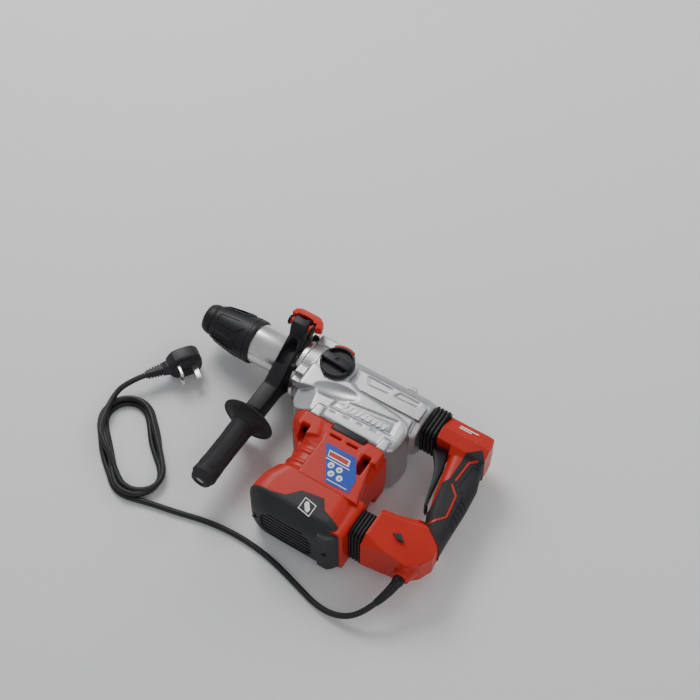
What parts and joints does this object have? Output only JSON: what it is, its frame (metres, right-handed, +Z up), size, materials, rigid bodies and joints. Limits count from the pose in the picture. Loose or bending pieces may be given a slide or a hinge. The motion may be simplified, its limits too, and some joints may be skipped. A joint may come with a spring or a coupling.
{
  "type": "rotary hammer",
  "caption": "L-shaped electric rotary hammer lying on its side, with hex-panel chuck sleeve, swivelling side handle, sprung D-handle, mode knob and coiled mains lead.",
  "frame": {"origin": "mouth of the tool-holder bore, on the hammer axis", "axes": "+X rearward along the hammer axis, +Y the tool's top with the motor towards -Y, +Z up: the tool lies on its right side"},
  "size_m": [0.5229, 0.3417, 0.119],
  "materials": {
    "cast_alloy": "satin cast",
    "bright_steel": "turned, brushed round",
    "dark_steel": "blackened, oiled",
    "tool_steel": "ground",
    "red_plastic": "fine moulded texture, satin",
    "black_plastic": "fine moulded texture",
    "grey_plastic": "fine moulded texture",
    "soft_grip": "soft matt overmould",
    "rubber": "matt",
    "lamination_steel": "stamped sheet",
    "copper": "enamelled wire",
    "carbon": "pressed carbon",
    "blue_label": "printed vinyl",
    "cord_rubber": "smooth extruded sheath",
    "plug_plastic": "moulded, half gloss",
    "pin_metal": "nickel plate"
  },
  "bodies": {
    "root": {"front_neck": "bright_steel", "gear_housing": "cast_alloy", "bearing_plate": "cast_alloy", "spindle_bearings": "tool_steel", "gear_bearings": "tool_steel", "armature_bearings": "tool_steel", "stator_core": "lamination_steel", "field_windings": "copper", "carbon_brushes": "carbon", "brush_holders": "copper", "motor_housing": "red_plastic", "rating_label": "blue_label", "motor_shoe": "red_plastic", "end_cover": "grey_plastic", "housing_screws": "dark_steel", "upper_bellows": "rubber", "lower_bellows": "rubber", "guide_rods": "tool_steel", "damper_springs": "tool_steel"},
    "spindle": {"dust_cap": "rubber", "tool_holder": "tool_steel", "lock_rollers": "tool_steel", "sleeve_spring": "tool_steel", "hammer_tube": "tool_steel", "spindle_ring_gear": "tool_steel"},
    "sleeve": {"chuck_sleeve": "black_plastic"},
    "crank": {"crank_gear": "tool_steel", "crank_shaft": "tool_steel"},
    "pinion": {"idler_gear": "tool_steel", "pinion_shaft": "tool_steel"},
    "armature": {"armature_shaft": "tool_steel", "armature_core": "lamination_steel", "commutator": "copper", "cooling_fan": "black_plastic"},
    "beat_bolt": {"impact_bolt": "tool_steel"},
    "striker": {"striker": "tool_steel"},
    "piston": {"piston": "tool_steel", "piston_seal": "rubber", "wrist_pin": "tool_steel", "connecting_rod": "cast_alloy"},
    "selector": {"mode_knob": "black_plastic", "selector_shaft": "tool_steel", "knob_screw": "dark_steel"},
    "side_handle": {"side_bracket": "black_plastic", "lever_pin": "dark_steel"},
    "side_grip": {"side_grip": "soft_grip", "clamp_stud": "tool_steel"},
    "depth_lever": {"depth_lever": "red_plastic"},
    "handle": {"handle_left": "red_plastic", "handle_right": "red_plastic", "grip_overmould": "soft_grip", "switch_module": "black_plastic", "handle_fasteners": "dark_steel", "strain_relief": "rubber", "cord_lead": "cord_rubber", "cord_tail": "cord_rubber", "cord_coil": "cord_rubber", "plug_body": "plug_plastic", "plug_pins": "pin_metal"},
    "trigger": {"trigger": "black_plastic"}
  },
  "joints": [
    {"name": "armature_spin", "type": "hinge", "parent": "root", "child": "armature", "pos_m": [0.28, -0.14, 0], "axis": [0, 1, 0], "continuous": true},
    {"name": "crank_spin", "type": "hinge", "parent": "root", "child": "crank", "pos_m": [0.315, -0.06, 0], "axis": [0, 1, 0], "continuous": true},
    {"name": "pinion_spin", "type": "hinge", "parent": "root", "child": "pinion", "pos_m": [0.25025, -0.06, 0], "axis": [0, 1, 0], "continuous": true},
    {"name": "spindle_spin", "type": "hinge", "parent": "root", "child": "spindle", "pos_m": [0.1, 0, 0], "axis": [1, 0, 0], "continuous": true},
    {"name": "sleeve_slide", "type": "slide", "parent": "spindle", "child": "sleeve", "axis": [1, 0, 0], "range_m": [0, 0.012], "stiffness_N_per_m": 1200, "springref_m": -0.012, "deforming": ["sleeve_spring"]},
    {"name": "beat_bolt_slide", "type": "slide", "parent": "root", "child": "beat_bolt", "axis": [1, 0, 0], "range_m": [-0.0008, 0.006]},
    {"name": "striker_slide", "type": "slide", "parent": "root", "child": "striker", "axis": [1, 0, 0], "range_m": [-0.013, 0.008]},
    {"name": "piston_slide", "type": "slide", "parent": "root", "child": "piston", "axis": [1, 0, 0], "range_m": [0, 0.026]},
    {"name": "mode_knob_turn", "type": "hinge", "parent": "root", "child": "selector", "pos_m": [0.216, 0, 0.05], "axis": [0, 0, 1], "range_deg": [-60, 60]},
    {"name": "side_handle_swing", "type": "hinge", "parent": "root", "child": "side_handle", "pos_m": [0.144, 0, 0], "axis": [1, 0, 0], "continuous": true},
    {"name": "side_grip_turn", "type": "hinge", "parent": "side_handle", "child": "side_grip", "pos_m": [0.144, -0.1, 0], "axis": [0, 1, 0], "range_deg": [0, 360]},
    {"name": "depth_lever_swing", "type": "hinge", "parent": "side_handle", "child": "depth_lever", "pos_m": [0.144, 0.023, 0.06], "axis": [1, 0, 0], "range_deg": [0, 50], "stiffness_Nm_per_rad": 0.1, "springref_deg": -17.19},
    {"name": "handle_slide", "type": "slide", "parent": "root", "child": "handle", "axis": [1, 0, 0], "range_m": [-0.005, 0], "stiffness_N_per_m": 12000, "springref_m": 0.002, "deforming": ["upper_bellows", "lower_bellows", "damper_springs"]},
    {"name": "trigger_pull", "type": "hinge", "parent": "handle", "child": "trigger", "pos_m": [0.4175, -0.103, 0], "axis": [0, 0, 1], "range_deg": [-6, 0], "stiffness_Nm_per_rad": 0.8, "springref_deg": 11.46}
  ],
  "couplings": [
    {"joint": "crank_spin", "follows": "armature_spin", "ratio": -0.33333},
    {"joint": "pinion_spin", "follows": "armature_spin", "ratio": -0.41667},
    {"joint": "spindle_spin", "follows": "armature_spin", "ratio": 0.13889}
  ]
}
